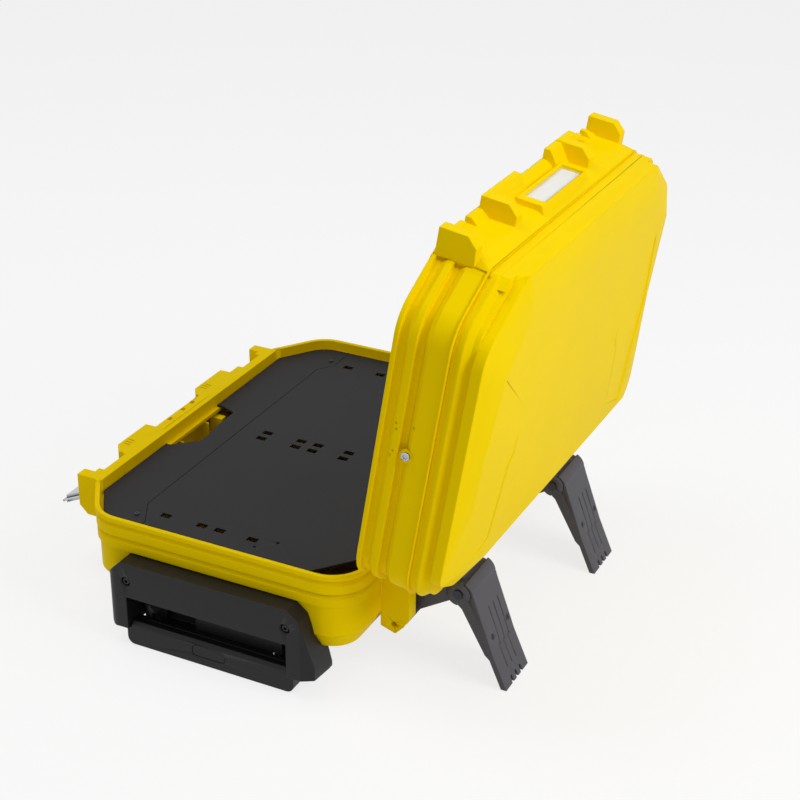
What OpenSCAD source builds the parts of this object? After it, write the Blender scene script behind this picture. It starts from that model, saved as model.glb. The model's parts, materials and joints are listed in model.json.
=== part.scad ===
// Wheeled plastic tool case, lying flat with its lid open on two folding legs.
// Millimetres. X runs along the case towards the pull handle, Y from the latches to the hinge, Z up.
// Inside the modules the zero is the middle of the case, on the plane where lid and base meet.

/* [Case] */
// Length of the case body
case_length = 599; // [560:1:640]
// Width of the case body from latch wall to hinge wall
case_width = 412; // [390:1:430]
// Depth of the base tub below the parting plane
base_depth = 108; // [104:1:112]
// Height of the parting plane above the floor
stand_height = 168; // [166:1:176]
// Wall thickness of the mouldings
wall = 3.5; // [2.5:0.1:4.5]
// Width of the flat rims where lid and base meet
rim_width = 6.3; // [5:0.1:8]
// Radius of the two corners at the hinge side
back_radius = 50; // [40:1:55]
// Length of the latch side corner cut along X
corner_cut_x = 70; // [60:1:75]
// Length of the latch side corner cut along Y
corner_cut_y = 48; // [40:1:55]

/* [Lid] */
// How far the lid is swung open in this pose
open_angle = 99.15; // [96:0.05:99.5]
// Height of the lid frame, from the rim to its flange
frame_height = 69; // [66:1:72]
// Height of the whole lid
lid_height = 119; // [117:1:125]
// Width of the bevel along the hinge side of the lid's face
face_bevel = 36; // [30:1:40]
// Width of the slope along the latch side of the lid's face
face_slope = 48; // [44:1:52]

/* [Fins and latches] */
// Distance of each latch from the middle of the case
latch_x = 175; // [174:1:177]
// Width of the latch plates
latch_width = 44; // [44:1:46]
// How far the fins stand out of the latch wall
fin_reach = 32; // [28:1:36]
// Thickness of the fins
fin_thickness = 17; // [14:1:20]
// Distance between the two lid fins that guard a latch
fin_pitch = 110; // [106:1:114]
// Distance from the middle of the case to the middle of two lid fins
lid_fin_x = 167; // [165:1:169]
// Distance of the base's end fins from the middle of the case
base_fin_x = 217; // [215:1:219]
// Length of a latch lever
lever_length = 70; // [64:1:72]
// Diameter of the latch wire
bail_wire = 3.2; // [2.5:0.1:4]

/* [Pull handle] */
// How far the pull handle stands off centre towards the hinge
handle_offset = 13; // [8:1:16]
// Width of the handle housing
housing_width = 288; // [280:1:292]
// How far the housing stands out of the end wall
housing_reach = 22.5; // [20:0.5:26]
// Distance between the two pull tubes
tube_pitch = 190; // [170:1:200]
// Outside diameter of the fixed tubes
outer_tube_d = 25; // [24:0.5:26]
// Outside diameter of the sliding tubes
inner_tube_d = 21; // [18:0.5:21.5]
// Length of the fixed tubes
outer_tube_length = 490; // [470:1:505]
// Height of the grip bar
grip_height = 34; // [30:1:36]
// Length of the grip bar
grip_length = 242; // [236:1:250]
// Width of the release button
button_width = 47; // [40:1:55]
// Height of the release button
button_height = 16; // [12:1:18]

/* [Wheels] */
// Outside diameter of the wheels
wheel_d = 90; // [84:1:94]
// Width of a wheel
wheel_width = 34; // [30:1:38]
// Diameter of the axle
axle_d = 12; // [10:0.5:14]

/* [Legs] */
// Distance of the leg next to the pull handle from the middle of the case
leg_x = 159; // [155:1:163]
// Distance of the other leg from the middle of the case
far_leg_x = 142; // [138:1:146]
// Width of a leg blade
blade_width = 68; // [64:1:72]
// Width of a leg arm
arm_width = 50; // [44:1:52]
// Thickness of the moulded lugs that carry the arms
lug_thickness = 18; // [14:1:22]
// Diameter of the pins at both ends of the arms
leg_pin_d = 8; // [6:0.5:9]

/* [Deck] */
// Depth of the deck's top below the parting plane
deck_drop = 13; // [11:1:16]
// Thickness of the deck
deck_thickness = 3; // [2.5:0.1:4]
// Distance of the deck's dividing line from the middle of the case
deck_split = 126; // [120:1:130]

/* [Fits] */
// Radial clearance of pins and axles that turn
running_gap = 0.08; // [0.05:0.01:0.1]
// Gap between pieces that slide or swing past each other
clear_gap = 0.4; // [0.3:0.05:0.6]

/* [Hidden] */

half_length = case_length / 2;
half_width = case_width / 2;
round_steps = 8;
thin = 0.01;

// Colours
case_yellow = [0.93, 0.76, 0.05];
deck_grey = [0.2, 0.2, 0.21];
housing_black = [0.13, 0.13, 0.14];
leg_grey = [0.27, 0.27, 0.29];
metal = [0.72, 0.75, 0.78];
rubber = [0.08, 0.08, 0.08];

// Heights of the mouldings' bands, each as [bottom, top, inset from the outline]
base_core_inset = 4;
base_knee = base_depth - 21;
skirt_inset = base_core_inset + 2.5;
bottom_inset = base_core_inset + 11;
base_bands = [[-7, 0, 0], [-26, -14, 0.5], [-44, -33, 1]];
// Slopes between bands, each as [bottom, inset there, top, inset there]
base_slopes = [[-14, 0.5, -8.5, base_core_inset - 0.5], [-33, 1, -28, base_core_inset - 0.2]];
lid_core_inset = 8;
rim_gap = 0.3;
lid_bands = [
    [rim_gap, 6, 0], [6, 14, 6], [20, 28, 0.5], [43, frame_height - 2, 1.2], [frame_height - 2, frame_height, -1.5]
];
lid_slopes = [[14, 6, 20, 0.5], [36, 7, 43, 1.2]];
cover_shoulder = lid_height - 12;
shoulder_low = frame_height + 25;
cover_bands = [[frame_height, frame_height + 5, 3], [frame_height + 9, frame_height + 12, 1]];
cover_slopes = [[frame_height + 5, 3, frame_height + 9, 1], [frame_height + 12, 1, frame_height + 19, lid_core_inset]];

// Latch wall
wall_pad = 8;
flange_reach = 8;
pad_half_length = half_length - corner_cut_x;
fin_xs = [for (s = [-1, 1]) for (k = [-1, 1]) s * lid_fin_x + k * fin_pitch / 2];
latch_xs = [latch_x, -latch_x];
latch_wall = -half_width - wall_pad;
flange_front = latch_wall - flange_reach;
latch_seat = latch_width / 2 + 2;
flange_depth = 14;
// Broad blocks of the base and of the lid, each as [from, to] along X
base_blocks = [[66, 150], [-128, -42]];
lid_blocks = [[22, 112], [-150, -70]];
// Groove of the rail between the blocks
rail = [-72, 80];

// Hinge
hinge_y = half_width;
knuckle_r = 5.5;
hinge_pin_d = 5;
// Hinges, each as [middle, half length, number of knuckles]
hinges = [[-232, 16, 3], [0, 70, 7], [232, 16, 3]];

// Underside and pull handle
floor_z = -stand_height;
tube_z = -148;
tube_ys = [handle_offset - tube_pitch / 2, handle_offset + tube_pitch / 2];
housing_front = half_length + housing_reach;
housing_top = -45.5;
housing_bottom = -142;
cavity_half = housing_width / 2 - 29;
cavity_top = -95;
grip_front = housing_front - 6;
grip_back = grip_front - 20;
grip_top = floor_z + grip_height;
outer_tube_front = grip_back - 8;
outer_tube_back = outer_tube_front - outer_tube_length;
housing_back = half_length - 26;

// Wheels and axle
wheel_r = wheel_d / 2;
axle_z = floor_z + wheel_r;
axle_x = -half_length - 5 + wheel_r;
wheel_y = half_width - 8 - wheel_width / 2;
well_gap = 4;
well_top = axle_z + wheel_r + well_gap;
well_inner_y = wheel_y - wheel_width / 2 - well_gap;
well_x = axle_x + wheel_r + well_gap;
hub_r = wheel_r * 0.7;
carrier_half = well_inner_y - 4;

// Legs, as points [y, z] in the plane across the case
leg_xs = [leg_x, -far_leg_x];
arm_pivot = [219.5, -101.5];
knuckle = [296, -47];
foot = [361.5, floor_z];
arm_pivot_r = 12;
knuckle_r_leg = 16;
flange_thickness = (blade_width - arm_width) / 2 - clear_gap;
lug_inner = blade_width / 2 + 2.5;

// Deck
deck_inset = rim_width + 3.7;
// Cut-out of the deck at the latch side, as [x, distance from the latch side]
deck_cut = [[81, 17], [54, 47], [37, 48], [0, 44], [-41, 43], [-50, 20]];
slot_rows = [244.5, 8.5, -9, -244.5];
slot_ys = [-88, -34.5, -8.5, 39];
deck_holes = [[258, 50, 4], [237, 71, 5], [-244, 74, 5]];
slot_size = [9, 14];

// Middle of the whole part's box, so that the part stands on its origin
lever_drop = 25;
lever_pivot = [latch_wall - 7.5, -38];
bail_at = 15;
bail_length = 59;
lever_tip_y = lever_pivot[0] - (bail_at + bail_length) * cos(lever_drop) - bail_wire / 2;
lid_back = hinge_y - (hinge_y + half_width - face_slope) * cos(open_angle) + lid_height * sin(open_angle);
middle = [(housing_front + axle_x - wheel_r) / 2, (lid_back + lever_tip_y) / 2];

// Outline of the case: a rectangle with two cut corners at the latch side
function unit(v) = v / norm(v);
function left(v) = [-v[1], v[0]];
function wrap(list, i) = list[(i + len(list)) % len(list)];

// Corner i of a polygon whose edges have moved inwards by t
function inset_corner(p, i, t) =
    let (n1 = left(unit(p[i] - wrap(p, i - 1))), n2 = left(unit(wrap(p, i + 1) - p[i])))
    p[i] + t * (n1 + n2) / (1 + n1 * n2);

// Points of the arc that rounds corner i of a polygon
function corner_arc(p, i, r, steps) =
    let (
        d1 = unit(wrap(p, i - 1) - p[i]),
        d2 = unit(wrap(p, i + 1) - p[i]),
        half = acos(d1 * d2) / 2,
        centre = p[i] + unit(d1 + d2) * r / sin(half),
        start = p[i] + d1 * r / tan(half) - centre,
        from = atan2(start[1], start[0])
    )
    [for (k = [0 : steps]) centre + r * [for (a = [from + (180 - 2 * half) * k / steps]) each [cos(a), sin(a)]]];

// Rounded polygon from its corners and radii, drawn in by an inset
function rounded(p, radii, inset) =
    let (q = [for (i = [0 : len(p) - 1]) inset_corner(p, i, inset)])
    [for (i = [0 : len(p) - 1]) each corner_arc(q, i, max(radii[i] - inset, 1), round_steps)];

case_corners = [
    [-half_length + corner_cut_x, -half_width], [half_length - corner_cut_x, -half_width],
    [half_length, -half_width + corner_cut_y], [half_length, half_width],
    [-half_length, half_width], [-half_length, -half_width + corner_cut_y]
];
case_radii = [24, 24, 50, back_radius, back_radius, 50];
function case_outline(inset) = rounded(case_corners, case_radii, inset);

module case_block(low, high, inset) {
    translate([0, 0, low]) linear_extrude(high - low) polygon(case_outline(inset));
}

// Sloping band between two insets
module case_slope(low, inset_low, high, inset_high) {
    hull() {
        case_block(low, low + thin, inset_low);
        case_block(high - thin, high, inset_high);
    }
}

module block(low, high) {
    translate(low) cube(high - low);
}

// Round bar along X
module bar_x(x0, x1, y, z, r) {
    translate([x0, y, z]) rotate([0, 90, 0]) cylinder(h = x1 - x0, r = r, $fn = 48);
}

// Round bar along Y
module bar_y(y0, y1, x, z, r) {
    translate([x, y1, z]) rotate([90, 0, 0]) cylinder(h = y1 - y0, r = r, $fn = 48);
}

// A shape drawn as [y, z] points and given a thickness along X
module side_plate(x0, x1, points) {
    translate([x0, 0, 0]) rotate([90, 0, 90]) linear_extrude(x1 - x0) polygon(points);
}

// Puts a piece into the part's own frame, on the floor
module place() {
    translate([-middle[0], -middle[1], stand_height]) children();
}

// Puts a lid piece, drawn closed, into the open pose
module lid_pose() {
    place() translate([0, hinge_y, 0]) rotate([-open_angle, 0, 0]) translate([0, -hinge_y, 0]) children();
}

// Fin or block with one cut corner, drawn at the latch wall from x0 to x1; cut_at_top is for the lid
fin_front = latch_wall - fin_reach + wall_pad;
fin_cut = 12;

module fin(x0, x1, low, high, cut_at_top) {
    far_low = cut_at_top ? low : low + fin_cut;
    far_high = cut_at_top ? high - fin_cut : high;
    side_plate(x0, x1, [
        [-half_width + 2, low], [cut_at_top ? fin_front : fin_front + fin_cut, low], [fin_front, far_low],
        [fin_front, far_high], [cut_at_top ? fin_front + fin_cut : fin_front, high], [-half_width + 2, high]
    ]);
}

// Band that thickens the latch wall out to its front, its ends in line with the cut corners
module latch_band(low, high, front) {
    proud = -half_width - front;
    end = pad_half_length - proud * corner_cut_x / corner_cut_y;
    translate([0, 0, low]) linear_extrude(high - low) polygon([
        [-end, front], [end, front], [pad_half_length, -half_width], [pad_half_length - 5, -half_width + 9],
        [5 - pad_half_length, -half_width + 9], [-pad_half_length, -half_width]
    ]);
}

// Base

module base_outside() {
    for (band = base_bands) case_block(band[0], band[1], band[2]);
    for (slope = base_slopes) case_slope(slope[0], slope[1], slope[2], slope[3]);
    case_block(-base_knee, 0, base_core_inset);
    case_slope(-base_depth, bottom_inset, -base_knee, skirt_inset);
}

module base_inside() {
    inner = base_core_inset + wall;
    case_block(-deck_drop - deck_thickness - clear_gap, 1, rim_width);
    case_block(-base_knee + 1, -deck_drop - deck_thickness - 6, inner);
    case_block(-base_knee + 1, 1, rim_width + 8);
    case_slope(-base_depth + wall, bottom_inset + wall - 1, -base_knee + 1 + thin, skirt_inset + wall);
}

// Room for one wheel, or the same room with a wall round it
module wheel_well(side, grow) {
    y0 = side > 0 ? well_inner_y - grow : -half_width - 5;
    y1 = side > 0 ? half_width + 5 : -well_inner_y + grow;
    block([-half_length - 5, y0, -base_depth - 5], [well_x + grow, y1, well_top + grow]);
}

module leg_lugs(cx) {
    for (s = [-1, 1]) {
        x0 = s > 0 ? cx + lug_inner : cx - lug_inner - lug_thickness;
        difference() {
            side_plate(x0, x0 + lug_thickness, [
                [half_width - base_core_inset - 1, -16], [half_width - base_core_inset - 1, -108],
                [208, -110.5], [221.5, -115], [232.5, -103], [241, -89], [241, -24], [234, -16]
            ]);
            bar_x(x0 - 1, x0 + lug_thickness + 1, arm_pivot[0], arm_pivot[1], leg_pin_d / 2 + thin);
        }
    }
}

pad_hollow = pad_half_length - 12 - wall;

module latch_wall_base() {
    // Flange along the latch wall, open at the latches
    difference() {
        latch_band(-flange_depth, 0, flange_front);
        for (x = latch_xs)
            block([x - latch_seat, flange_front - 1, -flange_depth - 1], [x + latch_seat, latch_wall, 1]);
        block([rail[0], -half_width - 2.4, -1.5], [rail[1], -half_width - 0.9, 1]);
        for (x = [37, 4, -20]) block([x - 4, latch_wall - 6, -9], [x + 4, latch_wall - 1, 1]);
    }
    latch_band(-64, -flange_depth, latch_wall);
    for (s = [-1, 1]) fin(s * base_fin_x - fin_thickness / 2, s * base_fin_x + fin_thickness / 2, -58, 0, false);
    for (b = base_blocks) difference() {
        fin(b[0], b[1], -40, 0, false);
        // Cut corner next to the pull handle, and narrow slits
        translate([0, 0, -41]) linear_extrude(42) polygon([
            [b[1] - 18, fin_front - 1], [b[1] + 1, fin_front - 1],
            [b[1] + 1, flange_front - 3], [b[1] - 0.5, flange_front - 3]
        ]);
        for (k = [0 : 2]) {
            x = b[1] - 24 - 6 * k;
            block([x, fin_front + 3, -3], [x + 1.5, latch_wall, 1]);
        }
        block([b[0] + 8, latch_wall - 4, -4], [b[0] + 30, latch_wall - 1, 1]);
    }
}

module inner_ribs() {
    for (x = [52, -12]) {
        block([x - 1.2, -half_width + base_core_inset + 2, -base_knee], [x + 1.2, -half_width + 20, -22]);
    }
    block([-48, -half_width + base_core_inset + 2, -base_knee], [-36, -half_width + 26, -26]);
}

// Every second knuckle of each hinge, from the first for the base and from the next for the lid
module hinge_knuckles(first, grow) {
    for (h = hinges) for (k = [first : 2 : h[2] - 1]) {
        part = 2 * h[1] / h[2];
        start = h[0] - h[1] + k * part;
        side = grow > 0 ? -clear_gap / 2 : clear_gap / 2;
        bar_x(start + side, start + part - side, hinge_y, 0, knuckle_r + grow);
    }
}

module hinge_bores(r) {
    for (h = hinges) bar_x(h[0] - h[1] - 1, h[0] + h[1] + 1, hinge_y, 0, r);
}

strip_screw_places = [[258, -123], [-252, -121]];

// Posts that carry the deck, with the strip's screws in two of them
module deck_posts() {
    for (p = strip_screw_places) translate([p[0], p[1], -base_depth + wall - 1])
        cylinder(h = base_depth - wall + 1 - deck_drop - deck_thickness - clear_gap, r = 6, $fn = 48);
}

module base_shell() {
    color(case_yellow) place() difference() {
        union() {
            difference() {
                union() {
                    base_outside();
                    latch_wall_base();
                    for (x = leg_xs) leg_lugs(x);
                }
                difference() {
                    base_inside();
                    for (s = [-1, 1]) wheel_well(s, wall);
                }
                for (s = [-1, 1]) wheel_well(s, 0);
                hinge_knuckles(1, clear_gap + 0.2);
                // Hollow behind the latch wall's pad
                block([-pad_hollow, latch_wall + wall, -60], [pad_hollow, -half_width + 9, -24]);
            }
            inner_ribs();
            deck_posts();
            hinge_knuckles(0, 0);
        }
        hinge_bores(hinge_pin_d / 2 + thin);
        for (p = strip_screw_places) translate([p[0], p[1], -40]) cylinder(h = 50, d = 3 + 2 * thin, $fn = 32);
        for (p = carrier_screw_places) translate([p[0], p[1], -base_depth - 1])
            cylinder(h = wall + 2, r = 2 + thin, $fn = 32);
        for (s = [-1, 1]) bar_x(half_length - 12, half_length + 1, handle_offset + s * screw_half, screw_z, 2.5 + thin);
    }
}

// Housing of the pull handle

screw_half = 114.5;
screw_z = -72;

// How far the housing's side next to the hinge flares out towards its bottom
housing_flare = 9;

// Profile of the housing across the case, its side next to the hinge leaning out towards the bottom
module housing_profile() {
    half = housing_width / 2;
    cut = 22;
    foot_r = 12;
    polygon([
        for (a = [180 : 15 : 270]) [foot_r - half + foot_r * cos(a), housing_bottom + foot_r + foot_r * sin(a)],
        [half + housing_flare, housing_bottom], [half + housing_flare, housing_bottom + 7], [half - 1, cavity_top],
        [half - 6, -73], [half - 11, -58], [half - cut - 4, housing_top],
        [-half + cut, housing_top], [-half, housing_top - cut]
    ]);
}

// Plan of the housing, rounded where its front meets its sides
module housing_plan() {
    half = housing_width / 2;
    r = 14;
    polygon([
        for (a = [0 : 15 : 90]) [housing_front - r + r * sin(a), -half + r - r * cos(a)],
        [housing_front, half - 9], [housing_front - 4, half - 2], [housing_front - 9, half + housing_flare - 3],
        [housing_back, half + housing_flare + 1], [housing_back, -half]
    ]);
}

module handle_housing() {
    finger_back = half_length - 7;
    rear_wall = 6;
    collar_back = housing_back - 4;
    collar_half = 17;
    collar_inner = tube_pitch / 2 - collar_half;
    plate_left = -33;
    color(housing_black) place() difference() {
        translate([0, handle_offset, 0]) difference() {
            union() {
                difference() {
                    intersection() {
                        translate([housing_back, 0, 0]) rotate([90, 0, 90])
                            linear_extrude(housing_front - housing_back) housing_profile();
                        translate([0, 0, housing_bottom - 1]) linear_extrude(housing_top - housing_bottom + 2)
                            housing_plan();
                    }
                    // Finger space over the grip and behind it
                    block([finger_back, -cavity_half, housing_bottom - 2], [housing_front + 1, cavity_half, cavity_top]);
                    block(
                        [housing_back + rear_wall, -cavity_half, housing_bottom - 2],
                        [finger_back + 1, cavity_half, -base_depth - 4]
                    );
                }
                // Plates that close the finger space behind the grip, the left one set deeper
                block([finger_back - wall, plate_left, housing_bottom], [finger_back, collar_inner + 1, -base_depth]);
                block([finger_back - wall, collar_inner, grip_top - 1], [finger_back, collar_inner + 15, -base_depth]);
                block(
                    [housing_back + 1, -collar_inner - 1, housing_bottom],
                    [finger_back, plate_left + 1, housing_bottom + wall]
                );
                // Collars round the tubes
                for (s = [-1, 1]) {
                    y = s * tube_pitch / 2;
                    block(
                        [collar_back, y - collar_half, tube_z - collar_half],
                        [outer_tube_front, y + collar_half, -base_depth - 1]
                    );
                }
            }
            for (s = [-1, 1]) {
                bar_x(housing_front - 5, housing_front + 1, s * screw_half, screw_z, 7);
                bar_x(half_length - 6, housing_front, s * screw_half, screw_z, 2.5 + thin);
                bar_x(collar_back - 1, outer_tube_front + 1, s * tube_pitch / 2, tube_z, outer_tube_d / 2 + thin);
            }
        }
        // The base stands in the housing
        case_block(-base_knee - 0.1, 1, base_core_inset - clear_gap);
        case_slope(-base_depth - clear_gap, bottom_inset - clear_gap, -base_knee, base_core_inset - clear_gap);
    }
}

module housing_screws() {
    color(metal) place() for (s = [-1, 1]) {
        y = handle_offset + s * screw_half;
        difference() {
            bar_x(housing_front - 5 + thin, housing_front - 1.5, y, screw_z, 5.5);
            translate([housing_front - 3.5, y, screw_z]) rotate([0, 90, 0]) cylinder(h = 3, r = 2.6, $fn = 6);
        }
        bar_x(half_length - 11, housing_front - 5, y, screw_z, 2.5);
    }
}

// Tubes

module tube_x(x0, x1, y, d, bore) {
    difference() {
        bar_x(x0, x1, y, tube_z, d / 2);
        bar_x(x0 - 1, x1 + 1, y, tube_z, bore / 2);
    }
}

module outer_tubes() {
    color(metal) place() for (y = tube_ys) {
        tube_x(outer_tube_back, outer_tube_front, y, outer_tube_d, inner_tube_d + 2 * clear_gap);
    }
}

inner_tube_back = outer_tube_back + 10;
inner_bore = inner_tube_d - 3;

module inner_tubes() {
    color(metal) place() for (y = tube_ys) tube_x(inner_tube_back, grip_back, y, inner_tube_d, inner_bore);
}

// Grip bar of two halves, with a pocket for the release button

button_travel = 4;
button_thickness = 5;
yoke_thickness = 3;
yoke_front = grip_front - 0.5 - button_thickness - 0.1;
yoke_back = yoke_front - yoke_thickness;
yoke_room_back = yoke_back - button_travel - clear_gap;
yoke_half = tube_pitch / 2 + 4;
grip_joint = yoke_room_back;
grip_screw_y = yoke_half + 6;

// Its middle rises into the finger space, its ends stay under the housing's cheeks
module grip_profile() {
    half = grip_length / 2;
    inner = cavity_half - 2 * clear_gap;
    shelf = housing_bottom - 2 * clear_gap;
    r = 10;
    polygon([
        for (a = [180 : 15 : 270]) [r - half + r * cos(a), floor_z + r + r * sin(a)],
        for (a = [270 : 15 : 360]) [half - r + r * cos(a), floor_z + r + r * sin(a)],
        [half, shelf], [inner, shelf], [inner, grip_top], [-inner, grip_top], [-inner, shelf], [-half, shelf]
    ]);
}

// Rounded oblong of the release button, from x0 to x1
module button_form(x0, x1, grow) {
    half_w = button_width / 2;
    half_h = button_height / 2;
    corners = [[-half_w, -half_h], [half_w, -half_h], [half_w, half_h], [-half_w, half_h]];
    translate([x0, 0, tube_z]) rotate([90, 0, 90]) linear_extrude(x1 - x0)
        polygon(rounded(corners, [4, 4, 6, 6], -grow));
}

module grip_front() {
    bevel = 4;
    color(housing_black) place() translate([0, handle_offset, 0]) difference() {
        translate([grip_joint, 0, 0]) rotate([90, 0, 90]) linear_extrude(grip_front - grip_joint) grip_profile();
        // Upper front edge, bevelled
        rotate([90, 0, 0]) translate([0, 0, -grip_length]) linear_extrude(2 * grip_length) polygon([
            [grip_front - bevel, grip_top + 1], [grip_front - bevel, grip_top],
            [grip_front, grip_top - bevel], [grip_front + 1, grip_top - bevel], [grip_front + 1, grip_top + 1]
        ]);
        button_form(grip_joint - 1, grip_front + 1, clear_gap);
        // Room for the yoke that joins the button to its rods
        block(
            [grip_joint - 1, -yoke_half - clear_gap, tube_z - 3 - clear_gap],
            [yoke_front + clear_gap, yoke_half + clear_gap, tube_z + 3 + clear_gap]
        );
        for (s = [-1, 1]) bar_x(grip_joint - 1, grip_front - 4, s * grip_screw_y, tube_z, 2 + thin);
    }
}

module grip_rear() {
    color(housing_black) place() translate([0, handle_offset, 0]) difference() {
        translate([grip_back, 0, 0]) rotate([90, 0, 90]) linear_extrude(grip_joint - grip_back) grip_profile();
        for (s = [-1, 1]) {
            bar_x(grip_back - 1, grip_joint + 1, s * tube_pitch / 2, tube_z, 2.5 + clear_gap);
            bar_x(grip_back - 1, grip_joint + 1, s * grip_screw_y, tube_z, 2 + thin);
            bar_x(grip_back - 1, grip_back + 3, s * grip_screw_y, tube_z, 4 + thin);
        }
    }
}

module grip_screws() {
    color(metal) place() for (s = [-1, 1]) {
        y = handle_offset + s * grip_screw_y;
        bar_x(grip_back + 0.3, grip_back + 3 - thin, y, tube_z, 4);
        bar_x(grip_back + 2, grip_front - 5, y, tube_z, 2);
    }
}

module release_button() {
    color(housing_black) place() translate([0, handle_offset, 0]) button_form(yoke_front + 0.1, grip_front - 0.5, 0);
}

// Yoke and rods that pass the button's push down the tubes
module release_rods() {
    color(metal) place() {
        block([yoke_back, handle_offset - yoke_half, tube_z - 3], [yoke_front, handle_offset + yoke_half, tube_z + 3]);
        for (y = tube_ys) bar_x(inner_tube_back + 12, yoke_back + 1, y, tube_z, 2.5);
    }
}

// Axle carrier: a moulding under the tub that holds the axle and the tubes' ends

carrier_front = outer_tube_back + 26;
carrier_back = axle_x - 16;
carrier_top = -base_depth - clear_gap;
carrier_bottom = axle_z - axle_d / 2 - 14;

module axle_carrier() {
    color(housing_black) place() difference() {
        union() {
            block([carrier_back, -carrier_half, carrier_top - 5], [carrier_front, carrier_half, carrier_top]);
            for (y = [-carrier_half, -50, 42, carrier_half - 8]) {
                block([carrier_back, y, carrier_bottom], [carrier_back + 32, y + 8, carrier_top]);
            }
            for (y = tube_ys) {
                block(
                    [outer_tube_back - 6, y - 17, tube_z - 16],
                    [carrier_front, y + 17, carrier_top - 1]
                );
            }
        }
        for (y = tube_ys) {
            bar_x(outer_tube_back, carrier_front + 1, y, tube_z, outer_tube_d / 2 + thin);
            bar_x(outer_tube_back - 7, outer_tube_back + 1, y, tube_z, 8);
        }
        bar_y(-carrier_half - 1, carrier_half + 1, axle_x, axle_z, axle_d / 2 + thin);
        for (p = carrier_screw_places) translate([p[0], p[1], carrier_top - 6]) cylinder(h = 8, r = 2 + thin, $fn = 32);
    }
}

carrier_screw_ys = [-60, 80];
carrier_screw_places = [for (y = carrier_screw_ys) for (x = [axle_x + 24, axle_x - 8]) [x, y]];

module carrier_screws() {
    color(metal) place() for (p = carrier_screw_places) translate([p[0], p[1], 0]) {
        translate([0, 0, carrier_top - 8]) cylinder(h = 3, r = 4.5, $fn = 32);
        translate([0, 0, carrier_top - 5]) cylinder(h = 5 + clear_gap + wall, r = 2, $fn = 32);
    }
}

axle_half = wheel_y + wheel_width / 2 + 1;

module axle() {
    color(metal) place() bar_y(-axle_half, axle_half, axle_x, axle_z, axle_d / 2);
}

module axle_caps() {
    color(rubber) place() for (s = [-1, 1]) {
        y0 = s > 0 ? axle_half - 2 : -axle_half - 2;
        difference() {
            bar_y(y0, y0 + 4, axle_x, axle_z, axle_d / 2 + 4);
            bar_y(s > 0 ? y0 - 1 : y0 + 2, s > 0 ? y0 + 2 : y0 + 5, axle_x, axle_z, axle_d / 2 + thin);
        }
    }
}

module wheel_hub(side) {
    y = side * wheel_y;
    inner_face = wheel_width / 2;
    color(housing_black) place() difference() {
        union() {
            bar_y(
                side > 0 ? carrier_half + clear_gap : -wheel_y - inner_face + 1.6,
                side > 0 ? wheel_y + inner_face - 1.6 : -carrier_half - clear_gap,
                axle_x, axle_z, axle_d / 2 + 4
            );
            bar_y(y - 3, y + 3, axle_x, axle_z, hub_r - 1);
            difference() {
                bar_y(y - inner_face + 3, y + inner_face - 3, axle_x, axle_z, hub_r);
                bar_y(y - inner_face, y + inner_face, axle_x, axle_z, hub_r - 4);
            }
            for (a = [0 : 60 : 120]) {
                translate([axle_x, y, axle_z]) rotate([0, a, 0])
                    cube([2 * hub_r - 2, wheel_width - 8, 4], center = true);
            }
        }
        bar_y(y - inner_face - 9, y + inner_face + 9, axle_x, axle_z, axle_d / 2 + running_gap);
    }
}

module tyre(side) {
    y = side * wheel_y;
    inner_face = wheel_width / 2;
    shoulder = 5;
    color(rubber) place() translate([axle_x, y, axle_z]) rotate([90, 0, 0]) rotate_extrude($fn = 72)
        polygon([
            [hub_r + thin, -inner_face + 2], [wheel_r - shoulder, -inner_face], [wheel_r - 1, -inner_face + shoulder],
            [wheel_r, -6], [wheel_r, 6], [wheel_r - 1, inner_face - shoulder],
            [wheel_r - shoulder, inner_face], [hub_r + thin, inner_face - 2]
        ]);
}

// Hinge and leg pins

module leg_pivot_pins() {
    reach = lug_inner + lug_thickness - 10;
    color(metal) place() for (x = leg_xs) bar_x(x - reach, x + reach, arm_pivot[0], arm_pivot[1], leg_pin_d / 2);
}

module hinge_pins() {
    color(metal) place() for (h = hinges) {
        bar_x(h[0] - h[1], h[0] + h[1], hinge_y, 0, hinge_pin_d / 2);
    }
}

// Latches

lever_half = 14;
cheek_in = lever_half + clear_gap;
cheek_out = cheek_in + 1.2;
rivet_x = latch_width / 2 - 4;

module latch_plates() {
    half = latch_width / 2;
    color(metal) place() for (x = latch_xs) difference() {
        union() {
            block([x - half, latch_wall - 1.5, -56], [x + half, latch_wall, -20]);
            // Two cheeks that hold the lever between them
            for (s = [-1, 1]) {
                side_plate(x + min(s * cheek_in, s * cheek_out), x + max(s * cheek_in, s * cheek_out), [
                    [latch_wall - 1, -50], [lever_pivot[0] - 4, lever_pivot[1] - 4],
                    [lever_pivot[0] - 4, lever_pivot[1] + 4], [latch_wall - 1, -26]
                ]);
            }
        }
        bar_x(x - half - 1, x + half + 1, lever_pivot[0], lever_pivot[1], 1.5 + thin);
        for (s = [-1, 1]) bar_y(latch_wall - 3, latch_wall + 1, x + s * rivet_x, -50, 1.6);
    }
}

module latch_rivets() {
    color(metal) place() for (x = latch_xs) {
        bar_x(x - cheek_out, x + cheek_out, lever_pivot[0], lever_pivot[1], 1.5);
        for (s = [-1, 1]) bar_y(latch_wall - 3, latch_wall - 0.1, x + s * rivet_x, -50, 1.5);
    }
}

// Draws a latch piece along -Y from the lever's pivot, then drops it to its open place
module at_lever(x) {
    place() translate([x, lever_pivot[0], lever_pivot[1]]) rotate([lever_drop, 0, 0]) children();
}

bail_half = cheek_out + clear_gap + bail_wire / 2;

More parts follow.
